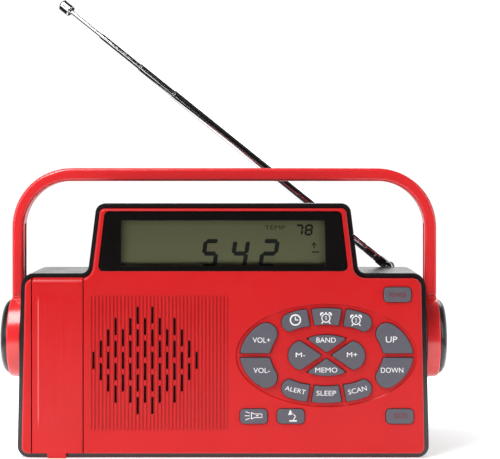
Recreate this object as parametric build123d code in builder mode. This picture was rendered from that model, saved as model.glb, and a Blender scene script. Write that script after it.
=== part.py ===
from build123d import *
import math
import os

# Emergency radio. Millimetres, +Z up, -Y is the front, +X is to the right when facing the front.
# The origin is the centre of the flat underside. Rest is the radio in use: handle upright,
# reading lamp shut, antenna raised to the left and part drawn out, crank folded away.

# ---------------------------------------------------------------- driving dimensions
FRONT_Y = -32.5            # front face
BACK_Y = 32.5              # rear face
RIM_Y = -28.0              # front edge of the rear cover, which frames the front cover
WALL = 2.3                 # moulded wall of both covers
GAP = 0.3                  # gap between the front cover and the rim around it
BODY_HALF_LOW = 109.3      # half width of the body at the bottom
BODY_HALF_TOP = 107.3      # half width at the shoulders
SHOULDER_Z = 97.7
HOOD_HALF_LOW = 71.9       # display hood on top of the body
HOOD_HALF_TOP = 67.3
HOOD_Z = 134.7
HOOD_BACK_TOP_Y = -16.0    # the back of the hood slopes from here
HOOD_BACK_FOOT_Y = 20.2    # down to here, and carries the solar panel
SHUT_INSET = WALL + GAP    # front cover outline inside the rear cover outline
PLATE_Y = FRONT_Y + 2.2    # inner face of the front plate
SKIRT_Y = -24.2            # rear edge of the front cover's skirt, inside the rear cover

LEDGE_Y = 21.4             # step along the top rear edge, where the antenna lies when stowed
LEDGE_Z = 92.6

PIVOT_Z = 61.0             # handle pivot axis, along X
JOURNAL_R = 15.0
HUB_R = 21.6               # small end of the tapered handle hub
FLANGE_R = 22.6            # fixed flange between the hub and the case
HANDLE_OUT = 115.8         # outer face of the handle legs
HANDLE_IN = 109.4
HANDLE_TOP = 153.4
HANDLE_BAR = 7.1           # height of the bar across the top
HANDLE_DEPTH = 12.6
HANDLE_CORNER = 32.3
LEG_FOOT_Z = 83.8
BOSS_OUT = 108.9           # end of the fixed flange, next to the hub
HUB_IN = 109.2
HUB_OUT = 116.5
CAP_IN = 116.7
CAP_OUT = 120.3            # outer face of the end caps
CAP_R = 20.5

LAMP_LEFT = -101.0         # flip-up reading lamp on the left of the front
LAMP_RIGHT = -74.0
LAMP_AXIS_Y = -29.0
LAMP_AXIS_Z = 92.0
LAMP_BARREL_R = 3.5
LAMP_BACK_Y = -25.5
LAMP_LOW_Z = 2.9

SPEAKER_X = -41.2
SPEAKER_Z = 52.0
SPEAKER_R = 28.5
SLOT_PITCH_X = 3.89        # grille slots stand in columns
SLOT_PITCH_Z = 11.9
SLOT_LONG = 9.3
SLOT_WIDE = 1.3

PAD_X = 54.7               # keypad ellipse
PAD_Z = 54.6
PAD_A = 47.7
PAD_B = 26.9
PAD_DEPTH = 0.6            # the oval is dished this deep
KEY_PROUD = 0.9            # keys stand this far out of the front face
KEY_CLEAR = 0.25           # gap round a key in its opening
KEY_FLANGE = 0.8           # hidden flange that keeps a key in
KEY_CORNER = 0.7           # rounding of the oval pad's keys, seen from the front

CRANK_X = -52.0            # crank axis, along Y, in a round dish in the back
CRANK_Z = 50.0
DISH_R = 34.0
DISH_DEPTH = 11.0
SHAFT_R = 3.0
ARM_REACH = 27.0
GEAR_MODULE = 1.0
GEAR_TEETH = 48
PINION_TEETH = 12
GEAR_Y = 14.0
GEAR_WIDE = 4.0

ANT_X = 92.3               # antenna pivot
ANT_Y = 26.5
ANT_Z = 97.4
ANT_AZIMUTH = 18.75         # degrees from -X towards +Y
ANT_TILT = 37.3            # degrees above level
TUBE_1 = (7.0, 164.5, 2.65, 2.22)      # start and end along the antenna, outer and inner radius
TUBE_2 = (38.5, 191.8, 2.15, 1.77)
TUBE_3 = (70.0, 224.2, 1.70, 1.22)
ROD = (95.0, 253.3, 1.15)
TIP = (249.3, 257.3, 3.5)
TUBE_1_FLOOR = 12.0        # the first tube is solid up to here

CELL_R = 7.15              # AA cells
CELL_LONG = 50.5
CELL_ZS = (16.0, 31.0, 46.0)
BAY_LOW_X = 10.0           # battery bay in the back
BAY_HIGH_X = 70.0
BAY_LOW_Z = 7.4
BAY_HIGH_Z = 54.0
BAY_FLOOR_Y = 13.8
DOOR_T = 2.1
DOOR_AXIS_Y = 31.35        # the battery door turns on pins along its lower edge
DOOR_AXIS_Z = 9.45
DOOR_PIN_R = 0.7

SOCKET_X = 96.0            # charging and earphone sockets, under a flap in the back
SOCKET_Z = 52.0
FLAP_W = 15.0
FLAP_H = 26.0
FLAP_T = 1.3

SCREW_POINTS = [(-101.0, 11.0), (101.0, 11.0), (-78.0, 86.0), (78.0, 86.0), (-2.0, 9.0)]
SCREW_R = 1.5
POST_R = 3.6
POST_END_Y = -10.0         # front and rear posts meet here

os.makedirs("parts", exist_ok=True)
made = []


def front(y):
    """A plane across the radio at depth y, facing the front: local x is X, local y is Z."""
    return Plane.XZ.offset(-y)


def side(x):
    """A plane along the radio at x, facing +X: local x is Y, local y is Z."""
    return Plane.YZ.offset(x)


def keep(builder, name):
    """Label a finished piece and write it as its own STEP file."""
    builder.part.label = name
    export_step(builder.part, f"parts/{name}.step")
    made.append(name)


def case_outline(y, inset=0.0):
    """Front view of the case: a wide body with a narrower display hood on top."""
    with BuildSketch(front(y), mode=Mode.PRIVATE) as outline:
        with BuildLine():
            FilletPolyline(
                (-BODY_HALF_LOW, 0),
                (BODY_HALF_LOW, 0),
                (BODY_HALF_TOP, SHOULDER_Z),
                (HOOD_HALF_LOW, SHOULDER_Z),
                (HOOD_HALF_TOP, HOOD_Z),
                (-HOOD_HALF_TOP, HOOD_Z),
                (-HOOD_HALF_LOW, SHOULDER_Z),
                (-BODY_HALF_TOP, SHOULDER_Z),
                radius=[6, 6, 7, 4, 5, 5, 4, 7],
                close=True,
            )
        make_face()
        if inset:
            offset(amount=-inset)
    return outline.sketch


def block(x0, x1, y0, y1, z0, z1):
    """A plain box between two corners, for walls and cut-outs."""
    with BuildPart(mode=Mode.PRIVATE) as box:
        with Locations(((x0 + x1) / 2, (y0 + y1) / 2, (z0 + z1) / 2)):
            Box(x1 - x0, y1 - y0, z1 - z0)
    return box.part


def peg(x, z, radius, y0, y1):
    """A round bar along Y from y0 to y1."""
    with BuildPart(mode=Mode.PRIVATE) as bar:
        with BuildSketch(front(y1)):
            with Locations((x, z)):
                Circle(radius)
        extrude(amount=y1 - y0)
    return bar.part


def axle(y, z, radius, x0, x1):
    """A round bar along X from x0 to x1."""
    with BuildPart(mode=Mode.PRIVATE) as bar:
        with BuildSketch(side(x0)):
            with Locations((y, z)):
                Circle(radius)
        extrude(amount=x1 - x0)
    return bar.part


def hub_turned(points):
    """A turned piece on the handle axis. Points are (distance out along X, radius)."""
    with BuildPart(mode=Mode.PRIVATE) as turned:
        with BuildSketch(Plane.XZ):
            with BuildLine():
                Polyline(*[(x, PIVOT_Z + r) for x, r in points], close=True)
            make_face()
        revolve(axis=Axis((0, 0, PIVOT_Z), (1, 0, 0)))
    return turned.part


def hood_back_cut(inset=0.0):
    """Everything behind the sloping back of the hood, down to the shoulders."""
    run = HOOD_BACK_FOOT_Y - HOOD_BACK_TOP_Y
    drop = HOOD_Z - SHOULDER_Z
    length = math.hypot(run, drop)
    normal_y = drop / length
    normal_z = run / length
    foot_z = SHOULDER_Z - inset
    top_z = HOOD_Z + 20
    foot_y = HOOD_BACK_TOP_Y + (-inset - normal_z * (foot_z - HOOD_Z)) / normal_y
    top_y = HOOD_BACK_TOP_Y + (-inset - normal_z * (top_z - HOOD_Z)) / normal_y
    with BuildPart(mode=Mode.PRIVATE) as cut:
        with BuildSketch(side(0)):
            with BuildLine():
                Polyline((top_y, top_z), (foot_y, foot_z), (60, foot_z), (60, top_z), close=True)
            make_face()
        extrude(amount=150, both=True)
    return cut.part


# ---------------------------------------------------------------- rear cover
# The plane of the hood's sloping back, with its local y running up the slope.
slope_up = Vector(0, HOOD_BACK_TOP_Y - HOOD_BACK_FOOT_Y, HOOD_Z - SHOULDER_Z).normalized()
slope_mid = Vector(0, (HOOD_BACK_TOP_Y + HOOD_BACK_FOOT_Y) / 2, (HOOD_Z + SHOULDER_Z) / 2)
slope_out = Vector(-1, 0, 0).cross(slope_up)
SLOPE = Plane(origin=slope_mid, x_dir=(-1, 0, 0), z_dir=slope_out)
SOLAR_W = 112.0
SOLAR_H = 40.0
SOLAR_T = 1.2

with BuildPart() as cavity:
    extrude(case_outline(BACK_Y - WALL, WALL), amount=BACK_Y - WALL - RIM_Y + 1)
    add(hood_back_cut(WALL), mode=Mode.SUBTRACT)
    add(block(-130, 130, LEDGE_Y - WALL, 60, LEDGE_Z - WALL, 120), mode=Mode.SUBTRACT)

with BuildPart() as rear_cover:
    extrude(case_outline(BACK_Y), amount=BACK_Y - RIM_Y)
    fillet(rear_cover.faces().sort_by(Axis.Y)[-1].edges(), 3.0)
    add(hood_back_cut(), mode=Mode.SUBTRACT)
    add(block(-130, 130, LEDGE_Y, 60, LEDGE_Z, 120), mode=Mode.SUBTRACT)
    add(cavity.part, mode=Mode.SUBTRACT)
    # recess for the solar panel in the slope
    with BuildSketch(SLOPE):
        RectangleRounded(SOLAR_W, SOLAR_H, 2.5)
    extrude(amount=-SOLAR_T, mode=Mode.SUBTRACT)
    # round dish for the crank
    add(peg(CRANK_X, CRANK_Z, DISH_R + WALL, BACK_Y - DISH_DEPTH - WALL, BACK_Y - 0.5))
    add(peg(CRANK_X, CRANK_Z, DISH_R, BACK_Y - DISH_DEPTH, BACK_Y + 1), mode=Mode.SUBTRACT)
    add(peg(CRANK_X, CRANK_Z, SHAFT_R + 0.06, 0, BACK_Y), mode=Mode.SUBTRACT)
    # battery bay: a tray behind an opening in the rear wall
    add(block(BAY_LOW_X - 1.6, BAY_HIGH_X + 1.6, BAY_FLOOR_Y - 1.6, BACK_Y - 1,
              BAY_LOW_Z - 1.6, BAY_HIGH_Z + 1.6))
    add(block(BAY_LOW_X, BAY_HIGH_X, BAY_FLOOR_Y, BACK_Y + 1, BAY_LOW_Z, BAY_HIGH_Z),
        mode=Mode.SUBTRACT)
    # holes for the handle pivots
    for x0, x1 in ((-120, -101), (101, 120)):
        add(axle(0, PIVOT_Z, FLANGE_R + 0.1, x0, x1), mode=Mode.SUBTRACT)
    # hole for the antenna swivel
    with BuildSketch(Plane.XY.offset(80)):
        with Locations((ANT_X, ANT_Y)):
            Circle(3.08)
    extrude(amount=20, mode=Mode.SUBTRACT)
    # socket recess and the two openings in it
    add(block(SOCKET_X - FLAP_W / 2, SOCKET_X + FLAP_W / 2, BACK_Y - 1.4, BACK_Y + 1,
              SOCKET_Z - FLAP_H / 2, SOCKET_Z + FLAP_H / 2), mode=Mode.SUBTRACT)
    add(peg(SOCKET_X, SOCKET_Z + 6, 3.0, 28, BACK_Y), mode=Mode.SUBTRACT)
    add(block(SOCKET_X - 4.0, SOCKET_X + 4.0, 28, BACK_Y, SOCKET_Z - 7.6, SOCKET_Z - 4.4),
        mode=Mode.SUBTRACT)
    # screw posts, with deep counterbores from the back
    for x, z in SCREW_POINTS:
        add(peg(x, z, POST_R, POST_END_Y, BACK_Y - 1))
    for x, z in SCREW_POINTS:
        add(peg(x, z, 2.9, 10, BACK_Y + 1), mode=Mode.SUBTRACT)
        add(peg(x, z, SCREW_R + 0.1, POST_END_Y - 1, 12), mode=Mode.SUBTRACT)
    # bearings for the pins of the battery door
    add(axle(DOOR_AXIS_Y, DOOR_AXIS_Z, DOOR_PIN_R + 0.08, BAY_LOW_X - 1, BAY_HIGH_X + 1),
        mode=Mode.SUBTRACT)
    # shallow seats for the rubber pads
    with BuildSketch(Plane.XY):
        with GridLocations(170, 40, 2, 2):
            RectangleRounded(16, 9, 2)
    extrude(amount=1.0, mode=Mode.SUBTRACT)
keep(rear_cover, "rear_cover")

with BuildPart() as rubber_feet:
    with BuildSketch(Plane.XY):
        with GridLocations(170, 40, 2, 2):
            RectangleRounded(15.9, 8.9, 1.95)
    extrude(amount=1.0)
keep(rubber_feet, "rubber_feet")

with BuildPart() as solar_panel:
    with BuildSketch(SLOPE.offset(-SOLAR_T)):
        RectangleRounded(SOLAR_W - 0.4, SOLAR_H - 0.4, 2.3)
    extrude(amount=SOLAR_T - 0.1)
keep(solar_panel, "solar_panel")

with BuildPart() as case_screws:
    for x, z in SCREW_POINTS:
        add(peg(x, z, 2.7, 10, 12.4))
        add(peg(x, z, SCREW_R, -18, 10))
        add(peg(x, z, 0.9, 11.2, 14), mode=Mode.SUBTRACT)
keep(case_screws, "case_screws")


# ---------------------------------------------------------------- keys
def pill(x, z):
    """Outline of a small rounded key."""
    with BuildSketch(front(0), mode=Mode.PRIVATE) as shape:
        with Locations((x, z)):
            RectangleRounded(14.5, 7.8, 2.3)
    return shape.sketch


def pad_key(*pieces, flip_x=False, flip_z=False):
    """A key of the oval pad, drawn from its centre and mirrored where it has a twin.

    Each piece is a list of points: two make a straight edge, three make an arc.
    """
    sx = -1 if flip_x else 1
    sz = -1 if flip_z else 1
    with BuildSketch(front(0), mode=Mode.PRIVATE) as shape:
        with BuildLine():
            for piece in pieces:
                points = [(PAD_X + sx * x, PAD_Z + sz * z) for x, z in piece]
                if len(points) == 3:
                    ThreePointArc(*points)
                else:
                    Line(*points)
        make_face()
    return shape.sketch


def rounded(sketch):
    """The same outline with its corners softened."""
    with BuildSketch(front(0), mode=Mode.PRIVATE) as soft:
        add(sketch)
        fillet(soft.vertices(), KEY_CORNER)
    return soft.sketch


def on_oval(x, shrink):
    """Height of the oval pad's rim at x from its centre, with the rim drawn in by shrink."""
    return (PAD_B - shrink) * math.sqrt(1 - (x / (PAD_A - shrink)) ** 2)


KEY_RIM = 1.9              # the outer keys end this far inside the rim
outer_end = (-45.7, 1.2)
outer_mid = (-41.4, on_oval(-41.4, KEY_RIM))
outer_top = (-34.4, on_oval(-34.4, KEY_RIM))
volume_edges = (
    [outer_end, outer_mid, outer_top],
    [outer_top, (-27.9, 15.6), (-26.3, 9.6)],
    [(-26.3, 9.6), (-28.2, 6.0), (-30.0, 1.2)],
    [(-30.0, 1.2), outer_end],
)
clock_edges = (
    [(-19.4, 12.6), (-23.8, 17.4), (-19.6, 22.2)],
    [(-19.6, 22.2), (-15.4, on_oval(-15.4, KEY_RIM)), (-10.4, 24.3)],
    [(-10.4, 24.3), (-8.8, 15.4)],
    [(-8.8, 15.4), (-14.4, 14.5), (-19.4, 12.6)],
)
alarm_edges = (
    [(-8.0, 24.4), (0, on_oval(0, KEY_RIM)), (8.0, 24.4)],
    [(8.0, 24.4), (6.3, 15.7)],
    [(6.3, 15.7), (0, 16.3), (-6.3, 15.7)],
    [(-6.3, 15.7), (-8.0, 24.4)],
)
band_edges = (
    [(-10.4, 8.9), (0, 10.8), (10.4, 8.9)],
    [(10.4, 8.9), (0, 1.6)],
    [(0, 1.6), (-10.4, 8.9)],
)
memory_edges = (
    [(-13.8, 7.6), (-20.3, 0), (-13.8, -7.6)],
    [(-13.8, -7.6), (-2.5, 0)],
    [(-2.5, 0), (-13.8, 7.6)],
)
PAD_KEYS = {
    "key_volume_up": pad_key(*volume_edges),
    "key_volume_down": pad_key(*volume_edges, flip_z=True),
    "key_tune_up": pad_key(*volume_edges, flip_x=True),
    "key_tune_down": pad_key(*volume_edges, flip_x=True, flip_z=True),
    "key_clock": pad_key(*clock_edges),
    "key_alarm_2": pad_key(*clock_edges, flip_x=True),
    "key_alert": pad_key(*clock_edges, flip_z=True),
    "key_scan": pad_key(*clock_edges, flip_x=True, flip_z=True),
    "key_alarm_1": pad_key(*alarm_edges),
    "key_sleep": pad_key(*alarm_edges, flip_z=True),
    "key_band": pad_key(*band_edges),
    "key_memo": pad_key(*band_edges, flip_z=True),
    "key_memory_down": pad_key(*memory_edges),
    "key_memory_up": pad_key(*memory_edges, flip_x=True),
}
PILL_KEYS = {
    "key_power": pill(92.1, 86.7),
    "key_sos": pill(93.3, 22.5),
    "key_torch": pill(16.2, 22.5),
    "key_lamp": pill(35.8, 22.5),
}
KEYS = {**PAD_KEYS, **PILL_KEYS}


def grown(sketch, amount):
    """The same outline, larger all round."""
    with BuildSketch(front(0), mode=Mode.PRIVATE) as bigger:
        add(sketch)
        offset(amount=amount, kind=Kind.ARC)
    return bigger.sketch


def at_depth(sketch, y):
    """The outline moved to a plane at depth y."""
    return Location((0, y, 0)) * sketch


# ---------------------------------------------------------------- front cover
SLOT_COUNTS = [1, 2, 3, 4, 3, 4, 5, 4, 5, 4, 3, 4, 3, 2, 1]
RIB_PITCH = SLOT_PITCH_X / 2
RIB_WIDE = 1.15
RIB_PROUD = 0.35
RIB_LOW = 15.2
RIB_HIGH = 86.2


def window_shape(y, low_half, high_half, low_z, high_z, radius):
    """A four-sided opening, narrower at the top, with round corners."""
    with BuildSketch(front(y), mode=Mode.PRIVATE) as shape:
        with BuildLine():
            FilletPolyline(
                (-low_half, low_z),
                (low_half, low_z),
                (high_half, high_z),
                (-high_half, high_z),
                radius=radius,
                close=True,
            )
        make_face()
    return shape.sketch


def grille_slots(y0, y1):
    """Upright slots in columns, centred on the speaker."""
    with BuildPart(mode=Mode.PRIVATE) as slots:
        with BuildSketch(front(y1)):
            for column, count in enumerate(SLOT_COUNTS):
                x = SPEAKER_X + (column - (len(SLOT_COUNTS) - 1) / 2) * SLOT_PITCH_X
                with Locations((x, SPEAKER_Z)):
                    with GridLocations(1, SLOT_PITCH_Z, 1, count):
                        SlotOverall(SLOT_LONG, SLOT_WIDE, rotation=90)
        extrude(amount=y1 - y0)
    return slots.part


with BuildPart() as front_cover:
    extrude(case_outline(SKIRT_Y, SHUT_INSET), amount=SKIRT_Y - FRONT_Y)
    fillet(front_cover.faces().sort_by(Axis.Y)[0].edges(), 1.6)
    extrude(case_outline(SKIRT_Y, SHUT_INSET + WALL), amount=SKIRT_Y - PLATE_Y,
            mode=Mode.SUBTRACT)
    # pocket for the reading lamp, open at the top and the bottom edge
    add(block(LAMP_LEFT - 2.4, LAMP_RIGHT + 2.4, PLATE_Y, -22.9, 4, LAMP_AXIS_Z))
    add(block(LAMP_LEFT - 0.4, LAMP_RIGHT + 0.4, FRONT_Y - 1, -24.9, -1, 120),
        mode=Mode.SUBTRACT)
    add(axle(LAMP_AXIS_Y, LAMP_AXIS_Z, 1.0, LAMP_LEFT - 2.0, LAMP_RIGHT + 2.0),
        mode=Mode.SUBTRACT)
    # ring that locates the speaker
    add(peg(SPEAKER_X, SPEAKER_Z, SPEAKER_R + 1.5, PLATE_Y, -26))
    add(peg(SPEAKER_X, SPEAKER_Z, SPEAKER_R + 0.1, PLATE_Y, -25), mode=Mode.SUBTRACT)
    # fine upright ribs over the speaker side
    with BuildSketch(front(FRONT_Y)):
        with Locations((SPEAKER_X + 7.0, (RIB_LOW + RIB_HIGH) / 2)):
            with GridLocations(RIB_PITCH, 1, 38, 1):
                SlotOverall(RIB_HIGH - RIB_LOW, RIB_WIDE, rotation=90)
    extrude(amount=RIB_PROUD)
    add(grille_slots(FRONT_Y - 1, PLATE_Y + 0.5), mode=Mode.SUBTRACT)
    # shallow oval dish around the pad, with a sloping rim
    with BuildPart(mode=Mode.PRIVATE) as pad_dish:
        for y, grow in ((FRONT_Y - 0.1, 0.6), (FRONT_Y + PAD_DEPTH, -0.1)):
            with BuildSketch(front(y)):
                with Locations((PAD_X, PAD_Z)):
                    Ellipse(PAD_A + grow, PAD_B + grow)
        loft()
    add(pad_dish.part, mode=Mode.SUBTRACT)
    # openings for the keys
    for key_shape in KEYS.values():
        extrude(at_depth(grown(key_shape, KEY_CLEAR), PLATE_Y + 1), amount=6, mode=Mode.SUBTRACT)
    # opening for the display mask
    extrude(window_shape(PLATE_Y + 1, 66.2, 62.5, 99.0, 130.8, 2.6), amount=6, mode=Mode.SUBTRACT)
    # screw posts that meet the rear ones
    for x, z in SCREW_POINTS:
        post_y = -23.2 if x < -70 else PLATE_Y - 0.3
        add(peg(x, z, POST_R, post_y, POST_END_Y))
        add(peg(x, z, SCREW_R, -18, POST_END_Y), mode=Mode.SUBTRACT)
keep(front_cover, "front_cover")

# ---------------------------------------------------------------- display
with BuildPart() as display_mask:
    extrude(window_shape(PLATE_Y, 66.0, 62.3, 99.2, 130.6, 2.5), amount=1.9)
    extrude(window_shape(PLATE_Y, 54.2, 53.8, 101.8, 125.8, 1.0), amount=4, mode=Mode.SUBTRACT)
keep(display_mask, "display_mask")

with BuildPart() as display_window:
    extrude(window_shape(PLATE_Y + 1.3, 65.6, 61.9, 99.4, 129.3, 2.0), amount=1.2)
keep(display_window, "display_window")

with BuildPart() as lcd_panel:
    extrude(window_shape(PLATE_Y + 3.6, 57.5, 57.5, 99.6, 128.6, 0.8), amount=2.0)
keep(lcd_panel, "lcd_panel")

with BuildPart() as lcd_backlight:
    extrude(window_shape(PLATE_Y + 6.8, 57.5, 57.5, 99.6, 128.6, 0.8), amount=3.0)
keep(lcd_backlight, "lcd_backlight")

# ---------------------------------------------------------------- keys and keypad
FLANGE_Y = PLATE_Y + 0.2
for name, key_shape in KEYS.items():
    top_shape = rounded(key_shape) if name in PAD_KEYS else key_shape
    with BuildPart() as key:
        extrude(at_depth(top_shape, FLANGE_Y + 1.0), amount=FLANGE_Y + 1.0 - FRONT_Y + KEY_PROUD)
        fillet(key.faces().sort_by(Axis.Y)[0].edges(), 0.4)
        extrude(at_depth(grown(key_shape, KEY_FLANGE), FLANGE_Y + 1.0), amount=1.0)
    keep(key, name)

MAT_Y = FLANGE_Y + 2.1
with BuildPart() as keypad_mat:
    add(block(6.5, 100.8, MAT_Y, MAT_Y + 1.0, 16.2, 91.8))
    add(peg(78, 86, POST_R + 0.4, MAT_Y - 1, MAT_Y + 2), mode=Mode.SUBTRACT)
keep(keypad_mat, "keypad_mat")

with BuildPart() as main_board:
    add(block(7, 100, MAT_Y + 1.2, MAT_Y + 2.8, 16.5, 91.5))
    with BuildSketch(Plane.XZ.offset(-(MAT_Y + 2.8))):
        with Locations((34, 66)):
            Rectangle(30, 26)
        with Locations((62, 40)):
            Rectangle(14, 14)
        with Locations((30, 32)):
            Rectangle(20, 8)
    extrude(amount=-4.0)
    for x, z in ((80, 62), (80, 50), (90, 62)):
        add(peg(x, z, 4.0, MAT_Y + 2.8, MAT_Y + 12))
    add(peg(78, 86, POST_R + 0.4, MAT_Y - 1, MAT_Y + 20), mode=Mode.SUBTRACT)
keep(main_board, "main_board")

# ---------------------------------------------------------------- speaker
with BuildPart() as grille_cloth:
    add(peg(SPEAKER_X, SPEAKER_Z, SPEAKER_R, PLATE_Y, PLATE_Y + 0.4))
keep(grille_cloth, "grille_cloth")

with BuildPart() as speaker:
    with BuildSketch(Plane.XY):
        with BuildLine():
            Polyline(
                (0, -24.0),
                (8.0, -23.5),
                (25.5, PLATE_Y + 0.9),
                (26.0, PLATE_Y + 0.5),
                (SPEAKER_R, PLATE_Y + 0.5),
                (SPEAKER_R, PLATE_Y + 2.0),
                (25.5, PLATE_Y + 2.5),
                (15.5, -20.0),
                (15.5, -12.0),
                (0, -12.0),
                close=True,
            )
        make_face()
    revolve(axis=Axis.Y)
speaker.part = Location((SPEAKER_X, 0, SPEAKER_Z)) * speaker.part
keep(speaker, "speaker")

# ---------------------------------------------------------------- reading lamp
with BuildPart() as lamp_panel:
    add(block(LAMP_LEFT, LAMP_RIGHT, FRONT_Y, LAMP_BACK_Y, LAMP_LOW_Z, LAMP_AXIS_Z))
    add(axle(LAMP_AXIS_Y, LAMP_AXIS_Z, LAMP_BARREL_R, LAMP_LEFT, LAMP_RIGHT))
    add(block(-92.9, -82.9, FRONT_Y, FRONT_Y + 2.6, 0.3, LAMP_LOW_Z + 1))
    fillet(lamp_panel.edges().filter_by(Axis.Z).group_by(Axis.Y)[0], 0.6)
    # hollow back for the lamp's board and diffuser
    add(block(LAMP_LEFT + 2, LAMP_RIGHT - 2, -30.5, LAMP_BACK_Y + 1, LAMP_LOW_Z + 2, 85),
        mode=Mode.SUBTRACT)
    add(axle(LAMP_AXIS_Y, LAMP_AXIS_Z, 1.06, LAMP_LEFT - 1, LAMP_RIGHT + 1), mode=Mode.SUBTRACT)
keep(lamp_panel, "lamp_panel")

with BuildPart() as lamp_led_board:
    add(block(LAMP_LEFT + 2.2, LAMP_RIGHT - 2.2, -30.3, -29.1, LAMP_LOW_Z + 2.2, 84.8))
    for count in range(5):
        add(peg((LAMP_LEFT + LAMP_RIGHT) / 2, 17 + 14 * count, 2.5, -29.1, -27.6))
keep(lamp_led_board, "lamp_led_board")

with BuildPart() as lamp_lens:
    add(block(LAMP_LEFT + 2.1, LAMP_RIGHT - 2.1, -27.1, LAMP_BACK_Y, LAMP_LOW_Z + 2.1, 84.9))
keep(lamp_lens, "lamp_lens")

with BuildPart() as lamp_hinge_pin:
    add(axle(LAMP_AXIS_Y, LAMP_AXIS_Z, 1.0, LAMP_LEFT - 2.0, LAMP_RIGHT + 2.0))
keep(lamp_hinge_pin, "lamp_hinge_pin")

# ---------------------------------------------------------------- handle and its pivots
with BuildPart() as handle:
    inner_corner = HANDLE_CORNER - HANDLE_BAR
    foot_z = PIVOT_Z + 14
    with BuildSketch(front(0)):
        with BuildLine():
            FilletPolyline(
                (-HANDLE_OUT, foot_z),
                (-HANDLE_OUT, HANDLE_TOP),
                (HANDLE_OUT, HANDLE_TOP),
                (HANDLE_OUT, foot_z),
                radius=HANDLE_CORNER,
            )
            Line((HANDLE_OUT, foot_z), (HANDLE_IN, foot_z))
            FilletPolyline(
                (HANDLE_IN, foot_z),
                (HANDLE_IN, HANDLE_TOP - HANDLE_BAR),
                (-HANDLE_IN, HANDLE_TOP - HANDLE_BAR),
                (-HANDLE_IN, foot_z),
                radius=inner_corner,
            )
            Line((-HANDLE_IN, foot_z), (-HANDLE_OUT, foot_z))
        make_face()
    extrude(amount=HANDLE_DEPTH / 2, both=True)
    fillet(handle.edges().filter_by(lambda e: e.center().Z > PIVOT_Z + 15).filter_by(
        lambda e: abs(abs(e.center().Y) - HANDLE_DEPTH / 2) < 0.01), 1.8)
    for turn in (-1, 1):
        add(hub_turned([(turn * HUB_IN, 0), (turn * HUB_IN, HUB_R + 0.7),
                        (turn * (HUB_OUT - 0.5), HUB_R), (turn * HUB_OUT, HUB_R - 0.5),
                        (turn * HUB_OUT, 0)]))
    add(axle(0, PIVOT_Z, JOURNAL_R + 0.08, -130, 130), mode=Mode.SUBTRACT)
    # shallow groove where each leg meets its hub
    with BuildSketch(Plane.XY.offset(LEG_FOOT_Z)):
        with Locations((-(HANDLE_IN + HANDLE_OUT) / 2, 0), ((HANDLE_IN + HANDLE_OUT) / 2, 0)):
            Rectangle(HANDLE_OUT - HANDLE_IN + 1, HANDLE_DEPTH + 1)
            Rectangle(HANDLE_OUT - HANDLE_IN - 0.8, HANDLE_DEPTH - 0.8, mode=Mode.SUBTRACT)
    extrude(amount=0.6, mode=Mode.SUBTRACT)
    for turn in (-1, 1):
        inner = sorted((turn * (HANDLE_IN - 1), turn * (HANDLE_IN + 0.8)))
        add(block(inner[0], inner[1], -3, 3, 86, 123), mode=Mode.SUBTRACT)
keep(handle, "handle")

for turn, name in ((-1, "left_pivot_boss"), (1, "right_pivot_boss")):
    with BuildPart() as boss:
        add(hub_turned([(turn * 103.6, 13.0), (turn * 103.6, 23.7), (turn * 105.1, 23.7),
                        (turn * 105.1, FLANGE_R), (turn * BOSS_OUT, FLANGE_R - 0.2),
                        (turn * BOSS_OUT, JOURNAL_R),
                        (turn * CAP_IN, JOURNAL_R), (turn * CAP_IN, 13.0)]))
    keep(boss, name)


def cap_dome(turn, rim_x, crown_x, rim_r, bore_r):
    """A domed cap on the handle axis, with an optional round window."""
    with BuildPart(mode=Mode.PRIVATE) as dome:
        with BuildSketch(Plane.XZ):
            with BuildLine():
                Line((turn * rim_x, PIVOT_Z + bore_r), (turn * rim_x, PIVOT_Z + rim_r))
                ThreePointArc(
                    (turn * rim_x, PIVOT_Z + rim_r),
                    (turn * (rim_x + (crown_x - rim_x) * 0.62), PIVOT_Z + rim_r * 0.93),
                    (turn * crown_x, PIVOT_Z + rim_r * 0.74),
                )
                Line((turn * crown_x, PIVOT_Z + rim_r * 0.74), (turn * crown_x, PIVOT_Z + bore_r))
                Line((turn * crown_x, PIVOT_Z + bore_r), (turn * rim_x, PIVOT_Z + bore_r))
            make_face()
        revolve(axis=Axis((0, 0, PIVOT_Z), (1, 0, 0)))
    return dome.part


with BuildPart() as left_end_cap:
    add(cap_dome(-1, CAP_IN, CAP_OUT, CAP_R, 13.7))
keep(left_end_cap, "left_end_cap")

with BuildPart() as right_end_cap:
    add(cap_dome(1, CAP_IN, CAP_OUT, CAP_R, 0))
    add(axle(0, PIVOT_Z, 12.9, 110.0, CAP_IN + 0.4))
keep(right_end_cap, "right_end_cap")

with BuildPart() as torch_lens:
    add(hub_turned([(-118.2, 0), (-118.2, 13.5), (-119.7, 13.5), (-119.7, 0)]))
keep(torch_lens, "torch_lens")

with BuildPart() as torch_reflector:
    add(hub_turned([(-103.4, 3.2), (-103.4, 5.4), (-110.0, 9.8), (-116.6, 12.6), (-118.0, 12.9),
                    (-118.0, 12.1), (-116.2, 11.6), (-110.4, 9.0), (-104.6, 4.2), (-104.2, 3.2)]))
keep(torch_reflector, "torch_reflector")

with BuildPart() as torch_led:
    add(hub_turned([(-99.8, 0), (-99.8, 9.0), (-101.4, 9.0), (-101.4, 2.8), (-105.6, 2.8),
                    (-107.4, 1.6), (-108.0, 0)]))
keep(torch_led, "torch_led")

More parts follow.
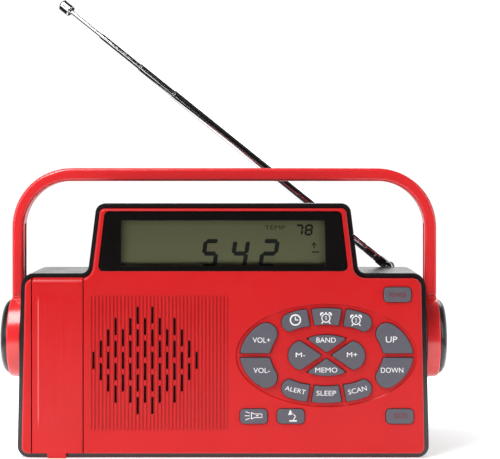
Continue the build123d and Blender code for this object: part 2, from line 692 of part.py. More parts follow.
# ---------------------------------------------------------------- telescopic antenna
azimuth = math.radians(ANT_AZIMUTH)
tilt = math.radians(ANT_TILT)
ant_level = Vector(-math.cos(azimuth), math.sin(azimuth), 0)
ant_axis = ant_level.cross(Vector(0, 0, 1))
ant_dir = ant_level * math.cos(tilt) + Vector(0, 0, math.sin(tilt))
PIVOT = Vector(ANT_X, ANT_Y, ANT_Z)
ANT = Plane(origin=PIVOT, x_dir=ant_axis, z_dir=ant_dir)
SWIVEL = Plane(origin=PIVOT, x_dir=ant_level, z_dir=ant_axis)
TONGUE = 3.2
print("antenna direction", ant_dir, "tilt axis", ant_axis)


def tube(start, end, outer, inner=0.0):
    """A round tube or rod along the antenna."""
    with BuildPart(mode=Mode.PRIVATE) as length:
        with BuildSketch(ANT.offset(start)):
            Circle(outer)
            if inner:
                Circle(inner, mode=Mode.SUBTRACT)
        extrude(amount=end - start)
    return length.part


with BuildPart() as antenna_swivel:
    with BuildSketch(Plane.XY.offset(LEDGE_Z - 4.9)):
        with Locations((ANT_X, ANT_Y)):
            Circle(3.4)
    extrude(amount=2.2)
    with BuildSketch(Plane.XY.offset(LEDGE_Z - 2.7)):
        with Locations((ANT_X, ANT_Y)):
            Circle(3.0)
    extrude(amount=2.8)
    with BuildSketch(Plane.XY.offset(LEDGE_Z + 0.1)):
        with Locations((ANT_X, ANT_Y)):
            Circle(4.2)
    extrude(amount=1.5)
    # two cheeks that hold the antenna's tongue
    for turn in (-1, 1):
        with BuildSketch(SWIVEL.offset(turn * (TONGUE / 2 + 1.05) - 0.95)):
            Circle(2.9)
            with Locations((0, -2.2)):
                Rectangle(5.8, 4.4)
        extrude(amount=1.9)
    with BuildSketch(SWIVEL.offset(-5)):
        Circle(1.0)
    extrude(amount=10, mode=Mode.SUBTRACT)
keep(antenna_swivel, "antenna_swivel")

with BuildPart() as antenna_hinge_pin:
    with BuildSketch(SWIVEL.offset(-3.9)):
        Circle(1.0)
    extrude(amount=7.8)
keep(antenna_hinge_pin, "antenna_hinge_pin")

with BuildPart() as antenna_tube_1:
    add(tube(TUBE_1[0], TUBE_1[1], TUBE_1[2]))
    # flat tongue with a round end
    with BuildSketch(SWIVEL.offset(-TONGUE / 2)):
        Circle(2.45)
    extrude(amount=TONGUE)
    with BuildSketch(ANT):
        Rectangle(TONGUE, 4.9)
    extrude(amount=TUBE_1[0] + 0.5)
    with BuildSketch(SWIVEL.offset(-5)):
        Circle(1.05)
    extrude(amount=10, mode=Mode.SUBTRACT)
    add(tube(TUBE_1_FLOOR, TUBE_1[1] + 1, TUBE_1[3]), mode=Mode.SUBTRACT)
    # crimped rings near the foot, and a rolled mouth
    for place in (9.5, 16.5, 22.0):
        add(tube(place, place + 0.8, 4.0, TUBE_1[2] - 0.2), mode=Mode.SUBTRACT)
    add(tube(TUBE_1[1] - 1.4, TUBE_1[1] - 0.9, 4.0, TUBE_1[2] - 0.15), mode=Mode.SUBTRACT)
keep(antenna_tube_1, "antenna_tube_1")

with BuildPart() as antenna_tube_2:
    add(tube(*TUBE_2))
    add(tube(TUBE_2[1] - 1.3, TUBE_2[1] - 0.9, 3.0, TUBE_2[2] - 0.12), mode=Mode.SUBTRACT)
keep(antenna_tube_2, "antenna_tube_2")

with BuildPart() as antenna_tube_3:
    add(tube(*TUBE_3))
    add(tube(TUBE_3[1] - 1.2, TUBE_3[1] - 0.8, 3.0, TUBE_3[2] - 0.12), mode=Mode.SUBTRACT)
keep(antenna_tube_3, "antenna_tube_3")

with BuildPart() as antenna_rod:
    add(tube(*ROD))
keep(antenna_rod, "antenna_rod")

with BuildPart() as antenna_tip:
    add(tube(*TIP))
    fillet(antenna_tip.edges().filter_by(GeomType.CIRCLE).sort_by(Axis(PIVOT, ant_dir))[-1], 1.6)
    fillet(antenna_tip.edges().filter_by(GeomType.CIRCLE).sort_by(Axis(PIVOT, ant_dir))[0], 0.8)
    add(tube(TIP[0] - 1, ROD[1], ROD[2]), mode=Mode.SUBTRACT)
keep(antenna_tip, "antenna_tip")


# ---------------------------------------------------------------- crank and generator
def gear(x, z, teeth, turn):
    """A spur gear about an axis along Y, with straight-flanked teeth and a little backlash."""
    pitch_r = GEAR_MODULE * teeth / 2
    root_r = pitch_r - 1.2 * GEAR_MODULE
    tip_r = pitch_r + 0.95 * GEAR_MODULE
    half_pitch = math.pi / teeth
    foot = root_r * half_pitch * 0.62
    crest = tip_r * half_pitch * 0.22
    hub = Plane(origin=(x, GEAR_Y + GEAR_WIDE, z), x_dir=(1, 0, 0), z_dir=(0, -1, 0))
    with BuildSketch(mode=Mode.PRIVATE) as tooth:
        Polygon((root_r - 0.4, -foot), (tip_r, -crest), (tip_r, crest), (root_r - 0.4, foot),
                align=None)
    with BuildPart(mode=Mode.PRIVATE) as wheel:
        with BuildSketch(hub):
            Circle(root_r)
            with PolarLocations(0, teeth, start_angle=turn):
                add(tooth.sketch)
        extrude(amount=GEAR_WIDE)
    return wheel.part


PINION_X = CRANK_X + GEAR_MODULE * (GEAR_TEETH + PINION_TEETH) / 2
DISH_FLOOR_Y = BACK_Y - DISH_DEPTH
ARM_Y = DISH_FLOOR_Y + 1.2

with BuildPart() as drive_gear:
    add(gear(CRANK_X, CRANK_Z, GEAR_TEETH, 0))
    with BuildSketch(front(GEAR_Y + GEAR_WIDE + 1)):
        with Locations((CRANK_X, CRANK_Z)):
            with PolarLocations(14, 6):
                Circle(4.2)
    extrude(amount=GEAR_WIDE + 2, mode=Mode.SUBTRACT)
    add(peg(CRANK_X, CRANK_Z, SHAFT_R, 11.0, ARM_Y + 6.0))
keep(drive_gear, "drive_gear")

with BuildPart() as crank_arm:
    with BuildSketch(front(ARM_Y + 8.0)):
        with Locations((CRANK_X, CRANK_Z)):
            Circle(8.0)
        with BuildLine():
            Polyline(
                (CRANK_X, CRANK_Z - 7.0),
                (CRANK_X + ARM_REACH + 4.0, CRANK_Z - 7.0),
                (CRANK_X + ARM_REACH + 4.0, CRANK_Z + 7.0),
                (CRANK_X, CRANK_Z + 7.0),
                close=True,
            )
        make_face()
    extrude(amount=8.0)
    fillet(crank_arm.edges().filter_by(Axis.Y).sort_by(Axis.X)[-2:], 3.0)
    # slot that the folded knob lies in
    add(block(CRANK_X + 7.0, CRANK_X + ARM_REACH + 6, ARM_Y + 1.5, ARM_Y + 9,
              CRANK_Z - 4.9, CRANK_Z + 4.9), mode=Mode.SUBTRACT)
    add(peg(CRANK_X, CRANK_Z, SHAFT_R + 0.02, 10, ARM_Y + 6.0), mode=Mode.SUBTRACT)
    with BuildSketch(Plane.XY.offset(CRANK_Z - 8)):
        with Locations((CRANK_X + ARM_REACH, ARM_Y + 5.2)):
            Circle(1.3)
    extrude(amount=16, mode=Mode.SUBTRACT)
keep(crank_arm, "crank_arm")

KNOB_Y = ARM_Y + 5.2
KNOB_X = CRANK_X + ARM_REACH
with BuildPart() as crank_knob:
    # eye on the cross pin, then a grip that tapers a little
    with BuildSketch(Plane.XY.offset(CRANK_Z - 4.4)):
        with Locations((KNOB_X, KNOB_Y)):
            Circle(3.2)
    extrude(amount=8.8)
    with BuildSketch(Plane.XY.offset(CRANK_Z - 7.0)):
        with Locations((KNOB_X, KNOB_Y)):
            Circle(1.24)
    extrude(amount=14.0)
    with BuildSketch(side(KNOB_X - 18.5)):
        with Locations((KNOB_Y, CRANK_Z)):
            Rectangle(5.6, 8.4)
    extrude(amount=18.5)
    fillet(crank_knob.edges().filter_by(Axis.X), 1.8)
keep(crank_knob, "crank_knob")

with BuildPart() as generator_pinion:
    add(gear(PINION_X, CRANK_Z, PINION_TEETH, 180 + 180 / PINION_TEETH))
    add(peg(PINION_X, CRANK_Z, 1.0, 3.0, GEAR_Y + GEAR_WIDE + 1.2))
keep(generator_pinion, "generator_pinion")

with BuildPart() as generator:
    add(peg(PINION_X, CRANK_Z, 12.0, -8.0, 12.0))
    add(peg(PINION_X, CRANK_Z, 4.0, 12.0, 13.2))
    add(block(PINION_X - 16, PINION_X + 16, 10.2, 12.0, CRANK_Z - 8, CRANK_Z + 8))
    add(peg(PINION_X, CRANK_Z, 1.06, 2.5, 14.0), mode=Mode.SUBTRACT)
keep(generator, "generator")

# ---------------------------------------------------------------- batteries
cell_x0 = (BAY_LOW_X + BAY_HIGH_X - CELL_LONG) / 2
with BuildPart() as battery_cells:
    for index, z in enumerate(CELL_ZS):
        add(axle(22.4, z, CELL_R, cell_x0, cell_x0 + CELL_LONG - 1.0))
        add(axle(22.4, z, 2.6, cell_x0 + CELL_LONG - 1.0, cell_x0 + CELL_LONG))
keep(battery_cells, "battery_cells")

with BuildPart() as battery_contacts:
    for z in CELL_ZS:
        add(block(BAY_LOW_X + 0.1, BAY_LOW_X + 0.7, 16.5, 28.5, z - 6, z + 6))
        add(axle(22.4, z, 3.4, BAY_LOW_X + 0.7, cell_x0))
        add(block(BAY_HIGH_X - 0.7, BAY_HIGH_X - 0.1, 16.5, 28.5, z - 6, z + 6))
        add(axle(22.4, z, 2.2, cell_x0 + CELL_LONG, BAY_HIGH_X - 0.7))
keep(battery_contacts, "battery_contacts")

with BuildPart() as battery_door:
    add(block(BAY_LOW_X + 0.4, BAY_HIGH_X - 0.4, DOOR_AXIS_Y - DOOR_T / 2,
              DOOR_AXIS_Y + DOOR_T / 2, DOOR_AXIS_Z, BAY_HIGH_Z - 0.4))
    # rounded lower edge on two short pins
    add(axle(DOOR_AXIS_Y, DOOR_AXIS_Z, DOOR_T / 2, BAY_LOW_X + 0.4, BAY_HIGH_X - 0.4))
    add(axle(DOOR_AXIS_Y, DOOR_AXIS_Z, DOOR_PIN_R, BAY_LOW_X - 0.8, BAY_HIGH_X + 0.8))
    # finger ridges by the latch
    for count in range(4):
        z = BAY_HIGH_Z - 6.0 - 1.8 * count
        add(block((BAY_LOW_X + BAY_HIGH_X) / 2 - 9, (BAY_LOW_X + BAY_HIGH_X) / 2 + 9,
                  BACK_Y - 0.2, BACK_Y + 0.4, z - 0.45, z + 0.45))
keep(battery_door, "battery_door")

# ---------------------------------------------------------------- sockets and their flap
with BuildPart() as socket_board:
    add(block(SOCKET_X - 8, SOCKET_X + 7.5, 24.2, 25.8, SOCKET_Z - 14, SOCKET_Z + 14))
    add(block(SOCKET_X - 3.9, SOCKET_X + 3.9, 25.8, 31.0, SOCKET_Z - 7.5, SOCKET_Z - 4.5))
    add(peg(SOCKET_X, SOCKET_Z + 6, 2.9, 25.8, 31.0))
    add(block(SOCKET_X - 3.4, SOCKET_X + 3.4, 27.5, 32.0, SOCKET_Z - 7.0, SOCKET_Z - 5.0),
        mode=Mode.SUBTRACT)
    add(peg(SOCKET_X, SOCKET_Z + 6, 1.8, 26.5, 32.0), mode=Mode.SUBTRACT)
keep(socket_board, "socket_board")

FLAP_AXIS_X = SOCKET_X - FLAP_W / 2 + 0.3 + FLAP_T / 2
with BuildPart() as jack_cover:
    add(block(FLAP_AXIS_X, SOCKET_X + FLAP_W / 2 - 0.3, BACK_Y - FLAP_T, BACK_Y,
              SOCKET_Z - FLAP_H / 2 + 0.3, SOCKET_Z + FLAP_H / 2 - 0.3))
    # rounded edge that the flap turns on
    with BuildSketch(Plane.XY.offset(SOCKET_Z - FLAP_H / 2 + 0.3)):
        with Locations((FLAP_AXIS_X, BACK_Y - FLAP_T / 2)):
            Circle(FLAP_T / 2)
    extrude(amount=FLAP_H - 0.6)
    add(block(SOCKET_X + 2, SOCKET_X + 6, BACK_Y - 0.1, BACK_Y + 0.6, SOCKET_Z + 10, SOCKET_Z + 11))
keep(jack_cover, "jack_cover")

print(len(made), "pieces")
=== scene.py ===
# %% [markdown]
# # An emergency radio, finished in Blender
#
# The shapes, sizes and joints of the radio come from its CAD model, which is loaded as a fixed
# frame. This lesson adds what CAD leaves out: the light, the camera, the plastics and metals,
# the printed legends, the display's segments and the small trim.

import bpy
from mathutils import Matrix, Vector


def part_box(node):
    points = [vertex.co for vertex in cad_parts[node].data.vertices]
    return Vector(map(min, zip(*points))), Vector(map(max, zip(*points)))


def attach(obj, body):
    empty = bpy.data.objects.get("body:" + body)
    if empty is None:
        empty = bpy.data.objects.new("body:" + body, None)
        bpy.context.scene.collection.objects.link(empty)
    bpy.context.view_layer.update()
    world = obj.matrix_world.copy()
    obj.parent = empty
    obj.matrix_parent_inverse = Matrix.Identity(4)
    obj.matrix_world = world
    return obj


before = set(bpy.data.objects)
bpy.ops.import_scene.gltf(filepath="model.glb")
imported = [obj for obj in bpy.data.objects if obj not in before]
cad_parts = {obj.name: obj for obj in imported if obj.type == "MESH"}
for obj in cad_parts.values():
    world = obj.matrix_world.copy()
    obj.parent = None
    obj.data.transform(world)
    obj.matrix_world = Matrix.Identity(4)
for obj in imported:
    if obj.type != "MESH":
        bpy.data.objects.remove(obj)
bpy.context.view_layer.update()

# %% Modules and units
import math

import bmesh
import bpy
from mathutils import Matrix, Vector

MM = 0.001
scene = bpy.context.scene


def corner(point):
    """A corner of a box as plain millimetres, for printing."""
    return [round(c / MM, 1) for c in point]


# %% [markdown]
# ## The camera
#
# A small radio looks its best from about 0.8 m through a short telephoto lens: the upright edges
# stay upright and the depth of the case hardly shows. A vertical shift keeps the lens level
# while the radio sits low in the frame.

# %% Camera
lens = bpy.data.cameras.new("studio_camera")
lens.sensor_width = 36.0
lens.lens = 109.08
lens.shift_x = -0.0218
lens.shift_y = -0.1322
lens.clip_start = 0.05
lens.clip_end = 50
camera = bpy.data.objects.new("studio_camera", lens)
camera.location = (0.020, -0.8325, 0.156)
camera.rotation_euler = (math.radians(90), 0, 0)
scene.collection.objects.link(camera)
scene.camera = camera
scene.view_settings.view_transform = "Standard"
print("camera", tuple(camera.location), "lens", lens.lens)

# %% [markdown]
# ## Floor, room and light
#
# The radio stands on a white table about two and a half times as wide as itself, which stops
# short in front so that the polished display frame doesn't mirror it. The table glows a little
# more towards its edges and so has no visible end against the room. The camera sees the room as
# plain white. What the radio receives from it is white light from behind, near the horizon, but
# hardly any from the front, because a glossy red front turns pink and polished black turns grey
# when a bright wall faces it. The ceiling and the space below the table are dark too, which
# gives the chrome its black streaks. One softbox hangs above and to the left, where the slanting
# antenna hardly mirrors it, one stands on each side to draw the round edges and one lights the
# back.

# %% Floor
FLOOR_HALF = 0.32


def level(tree, source, low, high, start, end):
    """A value that runs from start to end while source runs from low to high."""
    ramp = tree.nodes.new("ShaderNodeMapRange")
    ramp.inputs["From Min"].default_value = low
    ramp.inputs["From Max"].default_value = high
    ramp.inputs["To Min"].default_value = start
    ramp.inputs["To Max"].default_value = end
    tree.links.new(source, ramp.inputs["Value"])
    return ramp.outputs["Result"]


def product(tree, first, second):
    """Two values multiplied."""
    times = tree.nodes.new("ShaderNodeMath")
    times.operation = "MULTIPLY"
    tree.links.new(first, times.inputs[0])
    tree.links.new(second, times.inputs[1])
    return times.outputs[0]


floor_mesh = bpy.data.meshes.new("table_top")
bm = bmesh.new()
bmesh.ops.create_grid(bm, x_segments=8, y_segments=8, size=FLOOR_HALF)
bm.to_mesh(floor_mesh)
bm.free()
floor = bpy.data.objects.new("table_top", floor_mesh)
scene.collection.objects.link(floor)

table_paint = bpy.data.materials.new("table_paint")
table_paint.use_nodes = True
shader = table_paint.node_tree.nodes["Principled BSDF"]
shader.inputs["Base Color"].default_value = (0.93, 0.93, 0.93, 1)
shader.inputs["Roughness"].default_value = 0.8
shader.inputs["Specular IOR Level"].default_value = 0.1
shader.inputs["Emission Color"].default_value = (1, 1, 1, 1)
tree = table_paint.node_tree
place = tree.nodes.new("ShaderNodeTexCoord")
reach = tree.nodes.new("ShaderNodeVectorMath")
reach.operation = "LENGTH"
tree.links.new(place.outputs["Object"], reach.inputs[0])
glowing = level(tree, reach.outputs["Value"], 0.11, 0.26, 0.42, 1.05)
tree.links.new(glowing, shader.inputs["Emission Strength"])
floor_mesh.materials.append(table_paint)

# %% Room
room = bpy.data.worlds.new("white_room")
scene.world = room
room.use_nodes = True
tree = room.node_tree
tree.nodes.clear()
view = tree.nodes.new("ShaderNodeTexCoord")
split = tree.nodes.new("ShaderNodeSeparateXYZ")
tree.links.new(view.outputs["Generated"], split.inputs[0])
behind = level(tree, split.outputs["Y"], -0.7, 0.35, 0.04, 1.05)
roof = level(tree, split.outputs["Z"], 0.16, 0.42, 1.0, 0.10)
pit = level(tree, split.outputs["Z"], -0.30, -0.08, 0.06, 1.0)
path = tree.nodes.new("ShaderNodeLightPath")
seen = tree.nodes.new("ShaderNodeMix")
seen.inputs["B"].default_value = 1.05
tree.links.new(path.outputs["Is Camera Ray"], seen.inputs["Factor"])
tree.links.new(product(tree, product(tree, behind, roof), pit), seen.inputs["A"])
glow = tree.nodes.new("ShaderNodeBackground")
glow.inputs["Color"].default_value = (1, 1, 1, 1)
out = tree.nodes.new("ShaderNodeOutputWorld")
tree.links.new(seen.outputs["Result"], glow.inputs["Strength"])
tree.links.new(glow.outputs[0], out.inputs["Surface"])
print("room lit")


# %% Softboxes
def softbox(name, place, aim, width, height, power):
    """A rectangular area light that points at aim."""
    lamp = bpy.data.lights.new(name, "AREA")
    lamp.shape = "RECTANGLE"
    lamp.size = width
    lamp.size_y = height
    lamp.energy = power
    holder = bpy.data.objects.new(name, lamp)
    holder.location = place
    holder.rotation_euler = (Vector(aim) - Vector(place)).to_track_quat("-Z", "Y").to_euler()
    scene.collection.objects.link(holder)
    return holder


softbox("top_softbox", (-0.48, -0.50, 1.08), (0, 0, 0.08), 0.55, 0.7, 14.0)
softbox("left_softbox", (-1.1, -0.75, 0.55), (0, 0, 0.08), 0.5, 0.9, 5.2)
softbox("right_softbox", (1.2, -0.55, 0.5), (0, 0, 0.08), 0.4, 0.9, 4.0)
softbox("rear_softbox", (0.5, 1.1, 0.9), (0, 0, 0.08), 0.8, 0.6, 7.0)
print("softboxes placed")

# %% [markdown]
# ## Moulded plastic
#
# Almost every surface is injection-moulded plastic. It is never one flat colour: pigment drifts
# a little over a few centimetres, the tool leaves a fine grain, gloss varies where hands rub it,
# and edges catch light because no mould edge is truly sharp. One helper builds all of that, and
# each plastic only chooses its own colour, gloss and grain. The Bevel node rounds the edges for
# the light, without changing the CAD mesh, and their colour is lightened as a painted highlight.
# Narrow gaps are darkened as painted shade, which an occlusion node finds.


# %% Plastic helper
def socket(node, name, value):
    """Set one input of a node."""
    node.inputs[name].default_value = value


def rgba(red, green, blue):
    """A colour with full opacity."""
    return (red, green, blue, 1.0)


def moulded_plastic(name, colour, gloss, grain=0.25, grain_size=0.35, drift=0.06, edge=0.35,
                    rounding=0.35, shine=0.5, painted_gap_shade=0.0):
    """Plastic with pigment drift, tool grain, rubbed gloss, softened edges lightened as a painted
    highlight, and painted shade in narrow gaps.

    gloss is the roughness, grain the depth of the texture in hundredths of a millimetre,
    grain_size its pitch and rounding the edge radius, both in millimetres. shine is the
    strength of the reflections, edge how strongly the edges are lightened as painted highlight,
    and the last argument how strongly an occlusion node darkens narrow gaps as painted shade.
    """
    finish = bpy.data.materials.new(name)
    finish.use_nodes = True
    nodes = finish.node_tree.nodes
    links = finish.node_tree.links
    shader = nodes["Principled BSDF"]
    place = nodes.new("ShaderNodeTexCoord")

    pigment = nodes.new("ShaderNodeTexNoise")
    socket(pigment, "Scale", 38.0)
    socket(pigment, "Detail", 4.0)
    links.new(place.outputs["Object"], pigment.inputs["Vector"])
    tint = nodes.new("ShaderNodeMix")
    tint.data_type = "RGBA"
    tint.inputs["A"].default_value = rgba(*[c * (1 - drift) for c in colour])
    tint.inputs["B"].default_value = rgba(*[min(1.0, c * (1 + drift) + 0.002) for c in colour])
    links.new(pigment.outputs["Fac"], tint.inputs["Factor"])

    rounded = nodes.new("ShaderNodeBevel")
    rounded.samples = 4
    socket(rounded, "Radius", rounding * MM)
    # Painted highlight: where the Bevel normal turns away from the flat normal, the colour is
    # made lighter, up to edge.
    flat = nodes.new("ShaderNodeNewGeometry")
    turn = nodes.new("ShaderNodeVectorMath")
    turn.operation = "DOT_PRODUCT"
    links.new(rounded.outputs["Normal"], turn.inputs[0])
    links.new(flat.outputs["Normal"], turn.inputs[1])
    painted_highlight = nodes.new("ShaderNodeMapRange")
    socket(painted_highlight, "From Min", 0.995)
    socket(painted_highlight, "From Max", 0.80)
    socket(painted_highlight, "To Min", 0.0)
    socket(painted_highlight, "To Max", edge)
    links.new(turn.outputs["Value"], painted_highlight.inputs["Value"])
    edge_highlighted = nodes.new("ShaderNodeMix")
    edge_highlighted.data_type = "RGBA"
    edge_highlighted.inputs["B"].default_value = rgba(*[min(1.0, c * 1.35 + 0.03) for c in colour])
    links.new(tint.outputs["Result"], edge_highlighted.inputs["A"])
    links.new(painted_highlight.outputs["Result"], edge_highlighted.inputs["Factor"])
    links.new(edge_highlighted.outputs["Result"], shader.inputs["Base Color"])
    # Painted shade: narrow gaps found by the occlusion node are darkened in colour.
    if painted_gap_shade:
        gap = nodes.new("ShaderNodeAmbientOcclusion")
        gap.samples = 6
        socket(gap, "Distance", 0.7 * MM)
        gap_shade_ramp = nodes.new("ShaderNodeMapRange")
        socket(gap_shade_ramp, "From Min", 0.20)
        socket(gap_shade_ramp, "From Max", 0.74)
        socket(gap_shade_ramp, "To Min", 1.0 - painted_gap_shade)
        socket(gap_shade_ramp, "To Max", 1.0)
        links.new(gap.outputs["AO"], gap_shade_ramp.inputs["Value"])
        gap_shaded_colour = nodes.new("ShaderNodeVectorMath")
        gap_shaded_colour.operation = "SCALE"
        links.new(edge_highlighted.outputs["Result"], gap_shaded_colour.inputs[0])
        links.new(gap_shade_ramp.outputs["Result"], gap_shaded_colour.inputs["Scale"])
        links.new(gap_shaded_colour.outputs["Vector"], shader.inputs["Base Color"])

    rub = nodes.new("ShaderNodeTexNoise")
    socket(rub, "Scale", 95.0)
    socket(rub, "Detail", 3.0)
    links.new(place.outputs["Object"], rub.inputs["Vector"])
    sheen = nodes.new("ShaderNodeMapRange")
    socket(sheen, "From Min", 0.3)
    socket(sheen, "From Max", 0.7)
    socket(sheen, "To Min", gloss * 0.86)
    socket(sheen, "To Max", min(1.0, gloss * 1.16))
    links.new(rub.outputs["Fac"], sheen.inputs["Value"])
    links.new(sheen.outputs["Result"], shader.inputs["Roughness"])

    tool = nodes.new("ShaderNodeTexNoise")
    socket(tool, "Scale", 1.0 / (grain_size * MM))
    socket(tool, "Detail", 2.0)
    links.new(place.outputs["Object"], tool.inputs["Vector"])
    relief = nodes.new("ShaderNodeBump")
    socket(relief, "Strength", 0.6)
    socket(relief, "Distance", grain * 0.01 * MM)
    links.new(tool.outputs["Fac"], relief.inputs["Height"])
    links.new(rounded.outputs["Normal"], relief.inputs["Normal"])
    links.new(relief.outputs["Normal"], shader.inputs["Normal"])
    socket(shader, "Specular IOR Level", shine)
    print("plastic", name)
    return finish


# %% [markdown]
# ## The radio's plastics
#
# The front is a warm signal red with a satin polish and the handle is the same red, a little
# shinier from being held, with its colour made lighter as painted light; the pivot hubs get a
# darker copy of that red as painted shade. The rear shell is charcoal with a fine spark-eroded
# texture, and the keys are a soft violet grey. The display frame is polished black.

# %% Plastics
red_front = moulded_plastic("red_front", (0.60, 0.010, 0.012), 0.36, grain=0.5, edge=0.2,
                            shine=0.30, painted_gap_shade=0.95)
# The handle's red is a lighter copy of the front's: painted light.
red_handle_painted_light = moulded_plastic("red_handle_painted_light", (0.82, 0.026, 0.030), 0.24, grain=0.3, edge=0.08,
                             rounding=0.7, shine=0.8)
# The pivot hubs' red is a darker copy of the front's: painted shade.
red_hub_painted_shade = moulded_plastic("red_hub_painted_shade", (0.29, 0.014, 0.016), 0.32, grain=0.3, edge=0.1,
                          rounding=0.5, shine=1.0, painted_gap_shade=0.6)
charcoal_shell = moulded_plastic("charcoal_shell", (0.012, 0.0105, 0.012), 0.23, grain=0.5,
                                 grain_size=0.5, edge=0.25, rounding=0.6, shine=0.65)
black_cap = moulded_plastic("black_cap", (0.008, 0.008, 0.009), 0.28, grain=0.3, edge=0.3)
key_grey = moulded_plastic("key_grey", (0.098, 0.096, 0.120), 0.46, grain=0.4, edge=0.2,
                           rounding=0.3, painted_gap_shade=0.9)
mask_gloss = moulded_plastic("mask_gloss", (0.0045, 0.0035, 0.0035), 0.10, grain=0.05, edge=0.1)
soft_rubber = moulded_plastic("soft_rubber", (0.016, 0.016, 0.018), 0.75, grain=1.2,
                              grain_size=0.6)
board_green = moulded_plastic("board_green", (0.02, 0.12, 0.045), 0.35, drift=0.2)
opal_lens = moulded_plastic("opal_lens", (0.80, 0.81, 0.78), 0.28, drift=0.02, edge=0.1)
nylon_gear = moulded_plastic("nylon_gear", (0.70, 0.68, 0.61), 0.45)
felt_black = moulded_plastic("felt_black", (0.010, 0.010, 0.010), 0.95, grain=3.0,
                             grain_size=0.25, edge=0.0)
cell_sleeve = moulded_plastic("cell_sleeve", (0.05, 0.055, 0.07), 0.25)

# %% [markdown]
# ## Metals
#
# The antenna is chrome-plated brass tube. Plating is mirror-like but drawn tube keeps faint
# lengthwise and round scratches, so the roughness varies finely. The plated steel of screws and
# contacts is duller. A single metal helper covers both.


# %% Metal helper
def plated_metal(name, colour, gloss, scratch=0.05, stretch=(900.0, 900.0, 900.0), smudge=0.05):
    """Metal with fine scratches in the gloss and soft smudges in the colour."""
    finish = bpy.data.materials.new(name)
    finish.use_nodes = True
    nodes = finish.node_tree.nodes
    links = finish.node_tree.links
    shader = nodes["Principled BSDF"]
    socket(shader, "Metallic", 1.0)
    place = nodes.new("ShaderNodeTexCoord")
    drawn = nodes.new("ShaderNodeMapping")
    drawn.inputs["Scale"].default_value = stretch
    links.new(place.outputs["Object"], drawn.inputs["Vector"])
    lines = nodes.new("ShaderNodeTexNoise")
    socket(lines, "Scale", 1.0)
    socket(lines, "Detail", 3.0)
    links.new(drawn.outputs["Vector"], lines.inputs["Vector"])
    polish = nodes.new("ShaderNodeMapRange")
    socket(polish, "From Min", 0.3)
    socket(polish, "From Max", 0.7)
    socket(polish, "To Min", gloss)
    socket(polish, "To Max", gloss + scratch)
    links.new(lines.outputs["Fac"], polish.inputs["Value"])
    links.new(polish.outputs["Result"], shader.inputs["Roughness"])
    haze = nodes.new("ShaderNodeTexNoise")
    socket(haze, "Scale", 70.0)
    socket(haze, "Detail", 3.0)
    links.new(place.outputs["Object"], haze.inputs["Vector"])
    tint = nodes.new("ShaderNodeMix")
    tint.data_type = "RGBA"
    tint.inputs["A"].default_value = rgba(*[c * (1 - smudge) for c in colour])
    tint.inputs["B"].default_value = rgba(*[min(1.0, c * (1 + smudge)) for c in colour])
    links.new(haze.outputs["Fac"], tint.inputs["Factor"])
    links.new(tint.outputs["Result"], shader.inputs["Base Color"])
    rounded = nodes.new("ShaderNodeBevel")
    rounded.samples = 4
    socket(rounded, "Radius", 0.15 * MM)
    links.new(rounded.outputs["Normal"], shader.inputs["Normal"])
    print("metal", name)
    return finish


chrome = plated_metal("chrome", (0.58, 0.57, 0.58), 0.06, scratch=0.06, smudge=0.08)
nickel = plated_metal("nickel", (0.52, 0.50, 0.46), 0.28, scratch=0.12)
zinc_steel = plated_metal("zinc_steel", (0.42, 0.42, 0.43), 0.34, scratch=0.15)
mirror_bowl = plated_metal("mirror_bowl", (0.86, 0.86, 0.87), 0.04, scratch=0.03, smudge=0.02)


# %% [markdown]
# ## Clear parts
#
# The display window and the torch lens are thin clear acrylic. Real refraction would only add
# noise, so each mixes a see-through shader with a gloss that grows at grazing angles.


# %% Clear sheet helper
def clear_sheet(name, colour, gloss, haze=0.05):
    """Thin clear acrylic: transparent, with Fresnel gloss and a trace of surface haze."""
    finish = bpy.data.materials.new(name)
    finish.use_nodes = True
    nodes = finish.node_tree.nodes
    links = finish.node_tree.links
    nodes.remove(nodes["Principled BSDF"])
    out = nodes["Material Output"]
    through = nodes.new("ShaderNodeBsdfTransparent")
    socket(through, "Color", rgba(*colour))
    shine = nodes.new("ShaderNodeBsdfGlossy")
    place = nodes.new("ShaderNodeTexCoord")
    wipe = nodes.new("ShaderNodeTexNoise")
    socket(wipe, "Scale", 60.0)
    socket(wipe, "Detail", 5.0)
    links.new(place.outputs["Object"], wipe.inputs["Vector"])
    smear = nodes.new("ShaderNodeMapRange")
    socket(smear, "To Min", gloss)
    socket(smear, "To Max", gloss + haze)
    links.new(wipe.outputs["Fac"], smear.inputs["Value"])
    links.new(smear.outputs["Result"], shine.inputs["Roughness"])
    grazing = nodes.new("ShaderNodeFresnel")
    socket(grazing, "IOR", 1.45)
    blend = nodes.new("ShaderNodeMixShader")
    links.new(grazing.outputs[0], blend.inputs["Fac"])
    links.new(through.outputs[0], blend.inputs[1])
    links.new(shine.outputs[0], blend.inputs[2])
    links.new(blend.outputs[0], out.inputs["Surface"])
    print("clear", name)
    return finish


window_clear = clear_sheet("window_clear", (0.95, 0.96, 0.93), 0.03)
torch_clear = clear_sheet("torch_clear", (0.95, 0.97, 0.98), 0.02)


# %% [markdown]
# ## The display glass
#
# A reflective liquid crystal panel is an olive polariser over a matt reflector. It has a fine
# sparkle and gets darker towards its top, left and right edges, where the frame shades it.
# The second helper is the solar panel's: dark blue cells divided by pale lines, under a clear
# skin, drawn on object coordinates turned into the slope of the hood.


# %% Olive panel and solar cells
lcd_olive = moulded_plastic("lcd_olive", (0.575, 0.565, 0.345), 0.60, grain=0.02, grain_size=0.25,
                            drift=0.04, edge=0.0)


